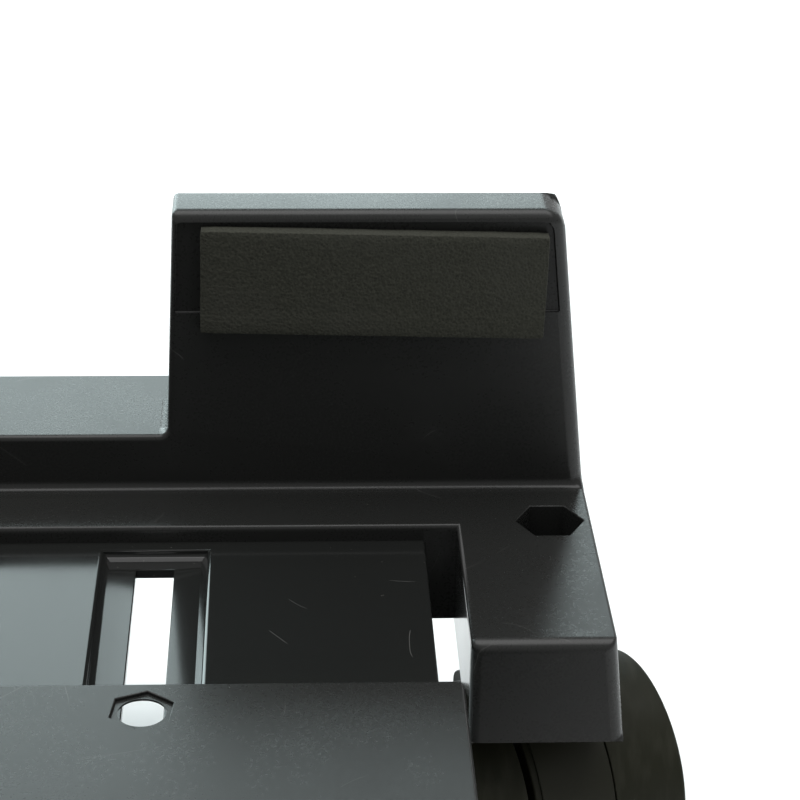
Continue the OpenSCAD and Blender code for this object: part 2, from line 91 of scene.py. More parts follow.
class Recipe:
    """A procedural material: the Principled shader, and short calls that add and join nodes.

    Noise and cell scales are per metre, in the object's own space. Bump distances are in metres.
    """

    def __init__(self, name, color, roughness, metallic=0.0, specular=0.5):
        self.material = bpy.data.materials.new(name)
        self.material.use_nodes = True
        self.tree = self.material.node_tree
        self.shader = self.tree.nodes["Principled BSDF"]
        self.shader.inputs["Base Color"].default_value = (*color, 1.0)
        self.shader.inputs["Roughness"].default_value = roughness
        self.shader.inputs["Metallic"].default_value = metallic
        self.shader.inputs["Specular IOR Level"].default_value = specular
        self.color = color
        self.place = self.add("ShaderNodeTexCoord").outputs["Object"]
        self.normal = None

    def add(self, kind, settings=None, **inputs):
        node = self.tree.nodes.new(kind)
        for key, value in (settings or {}).items():
            setattr(node, key, value)
        for key, value in inputs.items():
            self.put(node.inputs[key.replace("_", " ")], value)
        return node

    def put(self, socket, value):
        if isinstance(value, bpy.types.NodeSocket):
            self.tree.links.new(value, socket)
        else:
            socket.default_value = value

    def stretched(self, scale):
        node = self.add("ShaderNodeMapping", Vector=self.place, Scale=scale)
        return node.outputs["Vector"]

    def noise(self, scale, detail=2.0, place=None):
        node = self.add("ShaderNodeTexNoise", Vector=place or self.place, Scale=scale,
                        Detail=detail, Roughness=0.5)
        return node.outputs["Fac"]

    def cells(self, scale):
        node = self.add("ShaderNodeTexVoronoi", {"feature": "F1"}, Vector=self.place, Scale=scale)
        return node.outputs["Distance"]

    def remap(self, value, low, high, to_low, to_high):
        """Clamped linear map of low..high to to_low..to_high."""
        node = self.add("ShaderNodeMapRange", {"clamp": True}, Value=value)
        node.inputs["From Min"].default_value = low
        node.inputs["From Max"].default_value = high
        node.inputs["To Min"].default_value = to_low
        node.inputs["To Max"].default_value = to_high
        return node.outputs["Result"]

    def math(self, first, operation, second):
        node = self.add("ShaderNodeMath", {"operation": operation})
        self.put(node.inputs[0], first)
        self.put(node.inputs[1], second)
        return node.outputs["Value"]

    def tint(self, factor, other):
        """Mixes the colour so far towards another by factor."""
        node = self.add("ShaderNodeMix", {"data_type": "RGBA"})
        self.put(node.inputs["Factor"], factor)
        linked = isinstance(self.color, bpy.types.NodeSocket)
        self.put(node.inputs["A"], self.color if linked else (*self.color, 1.0))
        self.put(node.inputs["B"], (*other, 1.0))
        self.color = node.outputs["Result"]
        self.put(self.shader.inputs["Base Color"], self.color)

    def bump(self, height, distance, strength=1.0):
        node = self.add("ShaderNodeBump", Height=height, Distance=distance, Strength=strength)
        if self.normal is not None:
            self.put(node.inputs["Normal"], self.normal)
        self.normal = node.outputs["Normal"]
        self.put(self.shader.inputs["Normal"], self.normal)

    def rough(self, value):
        self.put(self.shader.inputs["Roughness"], value)

    def edges(self):
        """1 on worn outer edges, 0 elsewhere."""
        node = self.add("ShaderNodeNewGeometry")
        return self.remap(node.outputs["Pointiness"], 0.52, 0.60, 0.0, 1.0)


def dust(recipe, amount, color=(0.16, 0.16, 0.14)):
    """Sparse pale specks, in drifts."""
    specks = recipe.remap(recipe.cells(420.0), 0.0, 0.085, 1.0, 0.0)
    drifts = recipe.remap(recipe.noise(26.0, 3.0), 0.50, 0.68, 0.0, amount)
    recipe.tint(recipe.math(specks, "MULTIPLY", drifts), color)


def hairs(recipe, amount, color=(0.12, 0.12, 0.115)):
    """Short curved hairlines: thin contours of a smooth noise, broken up by a coarser one."""
    for shift, scale in ((3.1, 38.0), (17.4, 24.0)):
        shifted = recipe.add("ShaderNodeMapping", Vector=recipe.place,
                             Location=(shift, -shift, 0.4 * shift)).outputs["Vector"]
        field = recipe.noise(scale, 0.0, shifted)
        contour = recipe.math(recipe.math(field, "SUBTRACT", 0.5), "ABSOLUTE", 0.0)
        line = recipe.remap(contour, 0.0004, 0.0016, 1.0, 0.0)
        patch = recipe.remap(recipe.noise(70.0, 0.0, shifted), 0.66, 0.70, 0.0, amount)
        recipe.tint(recipe.math(line, "MULTIPLY", patch), color)


def matt_moulding():
    r = Recipe("moulding_grained", (0.0150, 0.0155, 0.0148), 0.29, specular=0.27)
    r.tint(r.remap(r.noise(9.0, 3.0), 0.35, 0.7, 0.0, 0.5), (0.0185, 0.0190, 0.0176))
    r.tint(r.math(r.edges(), "MULTIPLY", 0.35), (0.036, 0.038, 0.037))
    dust(r, 0.4)
    hairs(r, 0.4)
    mottle = r.remap(r.noise(45.0, 4.0), 0.3, 0.7, 0.26, 0.32)
    grain = r.remap(r.noise(1500.0, 1.0), 0.3, 0.7, -0.03, 0.03)
    r.rough(r.math(mottle, "ADD", grain))
    r.bump(r.noise(14.0, 2.0), 0.00018, 0.5)
    r.bump(r.noise(4800.0, 1.0), 0.000011, 0.4)
    return r.material


def polished_moulding():
    r = Recipe("moulding_polished", (0.0115, 0.0122, 0.0116), 0.12, specular=0.33)
    r.tint(r.remap(r.noise(12.0, 2.0), 0.4, 0.7, 0.0, 0.4), (0.0150, 0.0156, 0.0146))
    dust(r, 0.8)
    hairs(r, 0.7)
    smears = r.remap(r.noise(30.0, 4.0, r.stretched((1.0, 0.35, 1.0))), 0.35, 0.75, 0.09, 0.17)
    r.rough(smears)
    r.bump(r.noise(11.0, 1.0), 0.00012, 0.4)
    r.bump(r.noise(900.0, 1.0), 0.000006, 0.4)
    return r.material


def foam():
    r = Recipe("foam_cells", (0.0310, 0.0320, 0.0245), 0.95, specular=0.25)
    r.tint(r.remap(r.noise(1900.0, 2.0), 0.42, 0.62, 0.0, 0.75), (0.048, 0.049, 0.038))
    r.tint(r.remap(r.noise(60.0, 3.0), 0.45, 0.7, 0.0, 0.5), (0.043, 0.044, 0.036))
    pores = r.cells(1500.0)
    # Painted shade: the pore centres are darkened as the shadow inside each pit; the same cells also drive the
    # bump.
    r.tint(r.remap(pores, 0.0, 0.28, 0.75, 0.0), (0.008, 0.008, 0.007))
    r.bump(pores, 0.00022, 0.8)
    r.bump(r.noise(700.0, 3.0), 0.00012, 0.6)
    return r.material


def wheel_nylon():
    r = Recipe("wheel_nylon", (0.0150, 0.0155, 0.0092), 0.55, specular=0.12)
    scuffs = r.remap(r.noise(1.0, 4.0, r.stretched((420.0, 90.0, 90.0))), 0.50, 0.72, 0.0, 0.45)
    r.tint(scuffs, (0.034, 0.034, 0.025))
    r.tint(r.math(r.edges(), "MULTIPLY", 0.3), (0.05, 0.05, 0.046))
    dust(r, 1.0)
    r.rough(r.remap(r.noise(120.0, 4.0), 0.3, 0.7, 0.50, 0.62))
    r.bump(r.noise(350.0, 4.0), 0.00006, 0.6)
    r.bump(r.noise(2400.0, 1.0), 0.00002, 0.5)
    return r.material


def caster_nylon():
    r = Recipe("caster_nylon", (0.0150, 0.0155, 0.0092), 0.48, specular=0.15)
    r.tint(r.remap(r.noise(20.0, 3.0), 0.4, 0.7, 0.0, 0.5), (0.022, 0.022, 0.015))
    r.tint(r.math(r.edges(), "MULTIPLY", 0.3), (0.045, 0.045, 0.040))
    dust(r, 0.7)
    r.rough(r.remap(r.noise(80.0, 3.0), 0.3, 0.7, 0.42, 0.54))
    r.bump(r.noise(30.0, 2.0), 0.0001, 0.4)
    r.bump(r.noise(1700.0, 1.0), 0.00001, 0.5)
    return r.material


def zinc_steel():
    r = Recipe("zinc_steel", (0.56, 0.57, 0.58), 0.30, 1.0)
    r.tint(r.remap(r.noise(160.0, 4.0), 0.4, 0.7, 0.0, 0.6), (0.40, 0.40, 0.39))
    r.rough(r.remap(r.noise(300.0, 3.0), 0.3, 0.7, 0.22, 0.42))
    r.bump(r.noise(1.0, 2.0, r.stretched((600.0, 600.0, 3000.0))), 0.00002, 0.4)
    return r.material


MATT = matt_moulding()
POLISHED = polished_moulding()
FOAM = foam()
NYLON = caster_nylon()
WHEEL = wheel_nylon()
STEEL = zinc_steel()


# ---------------------------------------------------------------- mesh helpers

def near(value, target, slack=0.4 * MM):
    """Whether two lengths agree to within slack."""
    return abs(value - target) < slack


def object_from(bm, name, *materials):
    mesh = bpy.data.meshes.new(name)
    bmesh.ops.recalc_face_normals(bm, faces=bm.faces)
    bm.to_mesh(mesh)
    bm.free()
    obj = bpy.data.objects.new(name, mesh)
    bpy.context.scene.collection.objects.link(obj)
    for material in materials:
        mesh.materials.append(material)
    return obj


def baked(obj):
    """Applies the object's modifiers to its mesh."""
    graph = bpy.context.evaluated_depsgraph_get()
    mesh = bpy.data.meshes.new_from_object(obj.evaluated_get(graph))
    old = obj.data
    obj.modifiers.clear()
    obj.data = mesh
    bpy.data.meshes.remove(old)
    return obj


def smooth(obj, sharp_deg=38.0):
    """Smooth shading that keeps flat faces flat and hard edges hard."""
    for polygon in obj.data.polygons:
        polygon.use_smooth = True
    obj.data.set_sharp_from_angle(angle=math.radians(sharp_deg))
    modifier = obj.modifiers.new("flat_faces", "WEIGHTED_NORMAL")
    modifier.keep_sharp = True
    return obj


def bevel(obj, width, segments=3, angle_deg=35.0):
    modifier = obj.modifiers.new("rounded", "BEVEL")
    modifier.width = width
    modifier.segments = segments
    modifier.limit_method = "ANGLE"
    modifier.angle_limit = math.radians(angle_deg)
    modifier.use_clamp_overlap = True
    return obj


def combine(obj, operation, *others):
    """Joins, cuts or crosses obj with other closed solids, which are used up."""
    for other in others:
        modifier = obj.modifiers.new("solid", "BOOLEAN")
        modifier.operation = operation
        modifier.solver = "EXACT"
        modifier.object = other
        baked(obj)
        bpy.data.objects.remove(other)
    return obj


def arc_corner(before, corner, after, radius, steps):
    """Points of a round corner between two straight sides of an outline."""
    p = Vector(corner)
    a = (Vector(before) - p).normalized()
    b = (Vector(after) - p).normalized()
    angle = a.angle(b)
    reach = radius / math.tan(angle / 2)
    centre = p + (a + b).normalized() * (radius / math.sin(angle / 2))
    start = p + a * reach - centre
    end = p + b * reach - centre
    turn = start.angle_signed(end)
    return [tuple(centre + Matrix.Rotation(-turn * i / steps, 2) @ start)
            for i in range(steps + 1)]


def rounded(outline, steps=5):
    """An outline of (u, v, radius) corners as plain points, closed."""
    points = []
    count = len(outline)
    for i, (u, v, radius) in enumerate(outline):
        if radius:
            before, after = outline[i - 1][:2], outline[(i + 1) % count][:2]
            points += arc_corner(before, (u, v), after, radius, steps)
        else:
            points.append((u, v))
    return points


def lathe(name, outline, material, segments=128):
    """Turns a closed outline of (x, radius) points round the X axis."""
    bm = bmesh.new()
    rings = []
    for x, r in outline:
        if r < 1e-7:
            rings.append([bm.verts.new((x, 0.0, 0.0))])
        else:
            rings.append([bm.verts.new((x, r * math.cos(a), r * math.sin(a)))
                          for a in (math.tau * i / segments for i in range(segments))])
    for i, ring in enumerate(rings):
        after = rings[(i + 1) % len(rings)]
        for k in range(segments):
            n = (k + 1) % segments
            corners = [ring[k % len(ring)], ring[n % len(ring)],
                       after[n % len(after)], after[k % len(after)]]
            unique = list(dict.fromkeys(corners))
            if len(unique) > 2:
                bm.faces.new(unique)
    return object_from(bm, name, material)


def prism(name, outline, low, high, material):
    """Extrudes a closed outline of (y, z) points along X."""
    bm = bmesh.new()
    ends = [[bm.verts.new((x, y, z)) for y, z in outline] for x in (low, high)]
    count = len(outline)
    for i in range(count):
        n = (i + 1) % count
        bm.faces.new((ends[0][i], ends[0][n], ends[1][n], ends[1][i]))
    bm.faces.new(ends[0])
    bm.faces.new(ends[1])
    return object_from(bm, name, material)


def block(name, low, high, material):
    """A box between two corners."""
    bm = bmesh.new()
    bmesh.ops.create_cube(bm, size=1.0)
    size = Vector(high) - Vector(low)
    middle = (Vector(high) + Vector(low)) / 2
    for v in bm.verts:
        v.co = Vector(a * b for a, b in zip(v.co, size)) + middle
    return object_from(bm, name, material)


def copy_of_node(node, name, *materials):
    """A clean copy of a CAD node's mesh, its flat faces joined up again."""
    bm = bmesh.new()
    bm.from_mesh(frame["nodes"][node].data)
    bmesh.ops.remove_doubles(bm, verts=bm.verts, dist=2e-6)
    bmesh.ops.dissolve_limit(bm, angle_limit=math.radians(0.4), verts=bm.verts, edges=bm.edges)
    for face in bm.faces:
        face.material_index = 0
    return object_from(bm, name, *materials)


def place(obj, body, slot, node):
    """Rides a finished piece on its body and hides the CAD node that it stands for."""
    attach(obj, body)
    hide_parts(node)


# ---------------------------------------------------------------- the two halves

def end_side(z):
    """|x| of the halves' outer ends, which lean inwards with height."""
    return END_X - (z - DECK_Z) * END_SLOPE


def inner_side(z):
    """|x| of the uprights' inner sides, which lean outwards with height."""
    return INNER_SIDE_X + (z - WALL_Z) * INNER_SIDE_SLOPE


def edge_radius(edge, is_rear):
    """How round a shell's edge is, in metres, from where it lies and which way it runs."""
    middle = (edge.verts[0].co + edge.verts[1].co) / 2
    along = (edge.verts[1].co - edge.verts[0].co).normalized()
    runs_x, runs_y, runs_z = (abs(v) > 0.9 for v in along)
    x, y, z = abs(middle.x), abs(middle.y), middle.z
    same_side = (middle.y > 0) == is_rear
    convex = edge.is_convex
    if same_side and near(y, FACE_Y) and z > DECK_Z - 1 * MM:
        return face_outline_radius(x, z, runs_x, convex)
    if edge.calc_length() < 1.1 * MM:
        return 0.0
    if z > WALL_Z - 1 * MM:
        return back_outline_radius(x, z, runs_x, runs_y, convex)
    if not convex:
        return 0.0
    at_end = near(x, end_side(z))
    if runs_z and x > PLATE_X - 4 * MM and near(y, ARM_END_Y):
        return 3.0 * MM if at_end else 2.4 * MM
    if runs_z and at_end:
        return 3.0 * MM if y > DECK_EDGE_Y else 0.0
    if near(z, DECK_Z):
        return deck_radius(x, y, middle.y, runs_x, runs_y, is_rear)
    if not is_rear and runs_z and near(x, PLATE_X) and near(middle.y, PLATE_EDGE_Y):
        return 2.5 * MM
    if is_rear and near(z, TONGUE_Z):
        if near(x, TONGUE_X) or near(middle.y, TONGUE_END_Y):
            return 0.45 * MM
        return 0.6 * MM if runs_y else 0.3 * MM
    return 0.25 * MM


def face_outline_radius(x, z, runs_x, convex):
    """Outline of the wall's inner face: foot, low wall, the uprights' sides and tops."""
    if not convex:
        return 2.0 * MM if near(z, DECK_Z) else 0.0
    if near(z, TOP_Z):
        return 2.5 * MM
    if near(x, end_side(z), 1.0 * MM):
        return 3.2 * MM
    return 1.3 * MM


def back_outline_radius(x, z, runs_x, runs_y, convex):
    """Outline of everything above the low wall that is behind the inner face."""
    if not convex:
        return 1.5 * MM if runs_x and near(z, WALL_Z) else 0.0
    if near(z, TOP_Z) and runs_y:
        return WIDEST_RADIUS if x > ARM_X else 1.3 * MM
    if near(x, end_side(z), 1.0 * MM) and not runs_x:
        return 1.2 * MM
    return 0.5 * MM


def deck_radius(x, y, signed_y, runs_x, runs_y, is_rear):
    """Edges of the deck's top: arm ends, deck ends, the window's sides and the plate."""
    if runs_x and near(y, ARM_END_Y) and x > PLATE_X - 4 * MM:
        return 2.5 * MM
    if runs_y and near(x, end_side(DECK_Z), 1.0 * MM):
        # Any wider would run into the rounded rim of the nut pocket.
        return 0.6 * MM
    if is_rear and runs_y and near(x, ARM_X):
        return 2.0 * MM
    if is_rear and runs_x and near(y, DECK_EDGE_Y):
        return 0.5 * MM
    if not is_rear and (near(signed_y, PLATE_EDGE_Y) or near(x, PLATE_X)):
        return 0.9 * MM
    return 0.25 * MM


def is_polished(face, is_rear):
    """The tongue, its channels and the arms' inner sides come from a polished part of the mould."""
    if not is_rear:
        return False
    middle = face.calc_center_median()
    if near(abs(middle.x), ARM_X) and abs(face.normal.x) > 0.9:
        return True
    low = CHANNEL_FLOOR_Z - 3 * MM
    return (abs(middle.x) < TONGUE_X + 1 * MM and low < middle.z < TONGUE_Z + 0.3 * MM
            and middle.y < DECK_EDGE_Y - 0.2 * MM and face.normal.z > -0.5)


def fill_recesses(bm):
    """Closes the two shallow pad recesses, so that the upright's round edges can be made first."""
    slack = 0.1 * MM

    def in_recess(face):
        p = face.calc_center_median()
        return (RECESS_Z[0] - slack < p.z < RECESS_Z[1] + slack
                and 85 * MM < abs(p.x) < 174 * MM
                and FACE_Y + slack < abs(p.y) < FACE_Y + RECESS_DEPTH + slack)

    bmesh.ops.delete(bm, geom=[f for f in bm.faces if in_recess(f)], context="FACES")
    rims = [e for e in bm.edges if len(e.link_faces) == 1 and near(abs(e.verts[0].co.y), FACE_Y)
            and e.verts[0].co.z > WALL_Z + 5 * MM]
    bmesh.ops.edgeloop_fill(bm, edges=rims)
    bmesh.ops.recalc_face_normals(bm, faces=bm.faces)
    bmesh.ops.dissolve_limit(bm, angle_limit=math.radians(0.4), verts=bm.verts, edges=bm.edges)


def recess_cutters(sign):
    """Blocks that cut the two recesses again, their upper outer corners round."""
    cutters = []
    low, high = RECESS_Z
    from_inner, from_end = 0.9 * MM, 2.6 * MM
    for side in (1, -1):
        outline = [(inner_side(low) + from_inner, low, 0.0),
                   (end_side(low) - from_end, low, 0.0),
                   (end_side(high) - from_end, high, 2.6 * MM),
                   (inner_side(high) + from_inner, high, 1.2 * MM)]
        flat = prism("recess_cutter", rounded(outline, 6), -RECESS_DEPTH, 5 * MM, MATT)
        turn = Matrix(((0, side, 0, 0), (-sign, 0, 0, sign * FACE_Y), (0, 0, 1, 0), (0, 0, 0, 1)))
        flat.data.transform(turn)
        if turn.determinant() < 0:
            flat.data.flip_normals()
        cutters.append(baked(bevel(flat, 0.3 * MM, 2, 60.0)))
    return cutters


def half(node):
    """One moulding, with every outer edge rounded as the mould rounds it."""
    is_rear = node == "rear_half"
    obj = copy_of_node(node, node + "_moulding", MATT, POLISHED)
    bm = bmesh.new()
    bm.from_mesh(obj.data)
    fill_recesses(bm)
    layers = bm.edges.layers.float
    layer = layers.get("bevel_weight_edge") or layers.new("bevel_weight_edge")
    for edge in bm.edges:
        if len(edge.link_faces) == 2 and edge.calc_face_angle(0.0) > math.radians(15):
            edge[layer] = edge_radius(edge, is_rear) / WIDEST_RADIUS
    for face in bm.faces:
        face.material_index = 1 if is_polished(face, is_rear) else 0
    bm.to_mesh(obj.data)
    bm.free()
    modifier = obj.modifiers.new("rounded", "BEVEL")
    modifier.limit_method = "WEIGHT"
    modifier.width = WIDEST_RADIUS
    modifier.segments = 4
    modifier.use_clamp_overlap = False
    modifier.miter_outer = "MITER_ARC"
    baked(obj)
    combine(obj, "DIFFERENCE", *recess_cutters(1 if is_rear else -1))
    place(smooth(obj), node, "moulding", node)


half("rear_half")
half("front_half")


# ---------------------------------------------------------------- foam pads

PAD_SIZE = Vector((74.4 * MM, 3.6 * MM, 23.8 * MM))
PAD_EDGE_R = 0.55 * MM

# Degrees by which each strip was stuck on askew
PAD_TILTS = {"rear_right": 1.3, "rear_left": 0.5, "front_right": 0.4, "front_left": 0.7}

# The face swells by CROWN and is uneven by RIPPLE, and the cut edges by CUT_RIPPLE.
SURFACE_WAVES = 160.0  # per metre
CROWN = 0.10 * MM
RIPPLE = 0.06 * MM
CUT_RIPPLE = 0.10 * MM


def foam_pad(corner, tilt_deg):
    """A die-cut strip of closed-cell foam that bends over the step of its recess."""
    node = "foam_pad_" + corner
    low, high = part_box(node)
    facing = -1.0 if high.y > 0 else 1.0
    middle = (low + high) / 2
    half_size = PAD_SIZE / 2
    inner = half_size - Vector((PAD_EDGE_R, PAD_EDGE_R, PAD_EDGE_R))
    turn = Matrix.Rotation(math.radians(tilt_deg), 3, "Y")
    step_top = RECESS_Z[0] + 1 * MM
    bm = bmesh.new()
    bmesh.ops.create_cube(bm, size=2.0)
    bmesh.ops.subdivide_edges(bm, edges=bm.edges, cuts=23, use_grid_fill=True)
    for v in bm.verts:
        p = Vector(a * b for a, b in zip(v.co, half_size))
        # Round edges: a point keeps its distance from the block that the edge radius leaves.
        core = Vector(max(-b, min(b, a)) for a, b in zip(p, inner))
        out = p - core
        if out.length > 1e-9:
            p = core + out.normalized() * PAD_EDGE_R
        # A soft, slightly uneven face, and wavy cut edges.
        wobble = noise.noise(p * SURFACE_WAVES + Vector((low.x, low.y, 0.0)) * 50.0)
        front = max(0.0, -p.y / half_size.y)
        crown = (1 - (p.x / half_size.x) ** 8) * (1 - (p.z / half_size.z) ** 8)
        p.y -= front * (CROWN * crown + RIPPLE * wobble)
        p.x += CUT_RIPPLE * wobble * (abs(p.x) / half_size.x) ** 6
        p.z += CUT_RIPPLE * wobble * (abs(p.z) / half_size.z) ** 6
        p = turn @ p
        world = Vector((p.x, -facing * p.y, p.z)) + middle
        # Below the recess the strip bends out over the step.
        if world.z < step_top:
            back = max(0.0, p.y / half_size.y)
            fade = min(1.0, (step_top - world.z) / (1.2 * MM))
            world.y += facing * fade * (0.12 * MM + back * (RECESS_DEPTH - 0.1 * MM))
        v.co = world
    obj = smooth(object_from(bm, "foam_strip_" + corner, FOAM), 60.0)
    place(obj, "rear_half" if facing < 0 else "front_half", "foam", node)


for corner_name, pad_tilt in PAD_TILTS.items():
    foam_pad(corner_name, pad_tilt)


# ---------------------------------------------------------------- casters

# Outlines of turned and extruded pieces are in millimetres, each corner with its own radius.
# The hub is the body's disc between the wheels, and TRAIL is how far the axle is behind the stem.
HUB_W = 16.6 * MM
HUB_R = 24.8 * MM
WHEEL_R = 25.0 * MM
TRAIL = 18.0 * MM
FOOT_Z = 7.0 * MM
OUTER_GAP = 0.3 * MM
INNER_GAP = 3.5 * MM
WHEEL_RIBS = 6
BRAKE_PIN_Y = 5.0 * MM
BRAKE_PIN_Z = 21.0 * MM
PEDAL_RIBS = 4


def scaled(points):
    """Millimetres to metres."""
    return [(u * MM, v * MM) for u, v in points]


def turned(name, corners, material, segments, steps):
    """A lathed piece, from (x, radius, corner radius) in millimetres."""
    return lathe(name, scaled(rounded(corners, steps)), material, segments)


def moved(obj, matrix):
    """Moves the mesh itself, and turns its faces outwards again if it was mirrored."""
    obj.data.transform(matrix)
    if matrix.determinant() < 0:
        obj.data.flip_normals()
    return obj


def on_end(obj):
    """Stands a piece that was turned about X on end, its x becoming height."""
    return moved(obj, Matrix(((0, 1, 0, 0), (0, 0, 1, 0), (1, 0, 0, 0), (0, 0, 0, 1))))


def fitted(obj, space, body, slot, node, sharp_deg=38.0):
    """Moves a piece from its own space into the frame, shades it and rides it on its body."""
    place(smooth(moved(obj, space), sharp_deg), body, slot, node)


def caster_space(corner):
    """From caster space (x outwards along the axle, y ahead, z up, on the floor under the stem)."""
    pivot = Vector(JOINTS["swivel_" + corner]["pos_m"])
    hub = Vector(JOINTS["outer_roll_" + corner]["pos_m"])
    ahead = Vector((pivot.x - hub.x, pivot.y - hub.y, 0.0)).normalized()
    outward = Vector((ahead.y, -ahead.x, 0.0)) * (1.0 if pivot.x > 0 else -1.0)
    turn = Matrix((outward, ahead, Vector((0.0, 0.0, 1.0)))).transposed().to_4x4()
    return Matrix.Translation((pivot.x, pivot.y, 0.0)) @ turn


def axle_space(x):
    return Matrix.Translation((x, -TRAIL, WHEEL_R))


def wheel_mesh(name):
    """A moulded wheel: ribbed hollow on the inner side, dished face with a cap on the outer."""
    wheel = turned(name, [
        (0.0, 2.55, 0.2), (0.0, 6.5, 0.3), (11.4, 6.5, 1.2), (11.4, 21.5, 1.2),
        (-0.15, 21.5, 0.3), (-0.15, 25.0, 0.2), (16.4, 25.0, 1.0), (16.4, 21.2, 0.7),
        (14.5, 19.8, 0.8), (14.1, 10.2, 0.8), (16.0, 8.4, 0.6), (16.0, 0.0, 0.0),
        (13.0, 0.0, 0.0), (13.0, 2.55, 0.0)], WHEEL, 168, 5)
    ribs = []
    for i in range(WHEEL_RIBS):
        rib = block("rib", (0.8 * MM, -0.8 * MM, 6.2 * MM), (11.8 * MM, 0.8 * MM, 21.9 * MM), WHEEL)
        ribs.append(moved(rib, Matrix.Rotation(math.tau * (i + 0.5) / WHEEL_RIBS, 4, "X")))
    return combine(wheel, "UNION", *ribs)


def body_outline(braked):
    """Side outline in (y, z): a disc cut off above the floor, and the foot of the neck."""
    start = math.asin((FOOT_Z - WHEEL_R) / HUB_R)
    stop = math.radians(52.0)
    steps = 96
    points = []
    for i in range(steps + 1):
        a = math.pi - start + (stop - math.pi + start) * i / steps
        points.append((-TRAIL + HUB_R * math.cos(a), WHEEL_R + HUB_R * math.sin(a)))
    nose = [(2.0, 44.2, 3.0), (8.0, 40.0, 4.0), (8.0, 28.0, 1.0)]
    if braked:
        nose += [(9.0, 27.9, 0.4), (9.0, 14.0, 1.5), (4.0, 14.0, 1.0)]
    else:
        nose += [(6.6, 20.0, 1.0), (4.4, 14.0, 1.0)]
    low_end = (-TRAIL + HUB_R * math.cos(start), FOOT_Z)
    corners = [(*points[-1], 0.0)] + [(y * MM, z * MM, r * MM) for y, z, r in nose]
    corners += [(*low_end, 0.0), (*points[0], 0.0)]
    return points[:-1] + rounded(corners, 5)[:-1]


def caster_body(corner, space):
    """The moulded body between the wheels: hood, collar, inner hub and the neck for the stem."""
    braked = corner.startswith("front")
    body = prism("caster_body_" + corner + "_hood", body_outline(braked),
                 -HUB_W / 2, HUB_W / 2, NYLON)
    baked(bevel(body, 0.3 * MM, 2, 40.0))
    collar = turned("collar", [
        (-9.8, 16.0, 0.3), (-9.8, 24.3, 0.5), (-8.0, 24.3, 0.0), (-8.0, 16.0, 0.0)], NYLON, 168, 4)
    moved(collar, axle_space(0.0))
    keel = block("keel", (-12 * MM, -50 * MM, -20 * MM), (-8.6 * MM, 10 * MM, FOOT_Z), NYLON)
    combine(collar, "DIFFERENCE", keel)
    inner_hub = turned("inner_hub", [
        (-9.8, 2.6, 0.0), (-9.8, 6.0, 0.4), (-6.0, 6.0, 0.0), (-6.0, 2.6, 0.0)], NYLON, 48, 3)
    moved(inner_hub, axle_space(0.0))
    neck = on_end(turned("neck", [
        (36.0, 0.0, 0.0), (36.0, 7.9, 0.0), (44.0, 7.9, 2.0), (46.0, 8.0, 0.0), (52.9, 8.0, 0.7),
        (52.9, 4.05, 0.3), (44.0, 4.05, 0.0), (44.0, 0.0, 0.0)], NYLON, 96, 4))
    well = lathe("well", scaled([(-8.4, 6.0), (-8.4, 16.0), (-3.5, 16.0), (-3.5, 6.0)]), NYLON, 96)
    combine(body, "DIFFERENCE", moved(well, axle_space(0.0)))
    combine(body, "UNION", neck, collar, inner_hub)
    if braked:
        notch = block("notch", (-5 * MM, 0.5 * MM, 9 * MM), (5 * MM, 12 * MM, 33 * MM), NYLON)
        combine(body, "DIFFERENCE", baked(bevel(notch, 0.8 * MM, 3)))
    fitted(body, space, "caster_" + corner, "caster_plastic", "caster_body_" + corner, 32.0)


def caster_metal(corner, space):
    """Stem with its grip ring, axle, and the pressed socket that the stem turns in."""
    body = "caster_" + corner
    stem = on_end(turned("stem_" + corner + "_turned", [
        (44.3, 0.0, 0.0), (44.3, 4.0, 0.2), (61.9, 4.0, 0.2), (62.1, 3.4, 0.1), (62.5, 3.4, 0.0),
        (62.5, 3.95, 0.15), (63.4, 3.95, 0.15), (63.4, 3.4, 0.0), (63.7, 3.4, 0.1),
        (63.9, 4.0, 0.2), (66.1, 3.3, 0.4), (66.1, 0.0, 0.0)], STEEL, 64, 3))
    fitted(stem, space, body, "steel", "stem_" + corner)
    axle = turned("axle_" + corner + "_turned", [
        (-24.4, 0.0, 0.0), (-24.4, 2.1, 0.1), (-24.0, 2.5, 0.1), (-9.9, 2.5, 0.0),
        (-9.9, 2.3, 0.0), (-9.3, 2.3, 0.0), (-9.3, 2.5, 0.0), (20.8, 2.5, 0.1),
        (21.2, 2.1, 0.1), (21.2, 0.0, 0.0)], STEEL, 48, 2)
    fitted(moved(axle, axle_space(0.0)), space, body, "steel", "axle_" + corner)
    socket = on_end(turned("stem_socket_" + corner + "_pressed", [
        (53.1, 4.15, 0.4), (53.1, 9.0, 0.4), (54.4, 9.0, 0.4), (54.4, 6.95, 0.3),
        (68.3, 6.95, 1.0), (68.3, 0.0, 0.0), (66.7, 0.0, 0.0), (66.7, 4.1, 0.3)], STEEL, 64, 4))
    half_body = "rear_half" if corner.startswith("rear") else "front_half"
    fitted(socket, space, half_body, "steel", "stem_socket_" + corner)


def caster_wheels(corner, space):
    """The outer wheel, and the inner one as its mirror image beyond the collar."""
    outer = moved(wheel_mesh("outer_wheel_" + corner + "_moulded"),
                  axle_space(HUB_W / 2 + OUTER_GAP))
    fitted(outer, space, "outer_wheel_" + corner, "wheel_plastic", "outer_wheel_" + corner, 30.0)
    inner = moved(wheel_mesh("inner_wheel_" + corner + "_moulded"),
                  Matrix.Scale(-1.0, 4, (1, 0, 0)))
    moved(inner, axle_space(-HUB_W / 2 - INNER_GAP))
    fitted(inner, space, "inner_wheel_" + corner, "wheel_plastic", "inner_wheel_" + corner, 30.0)


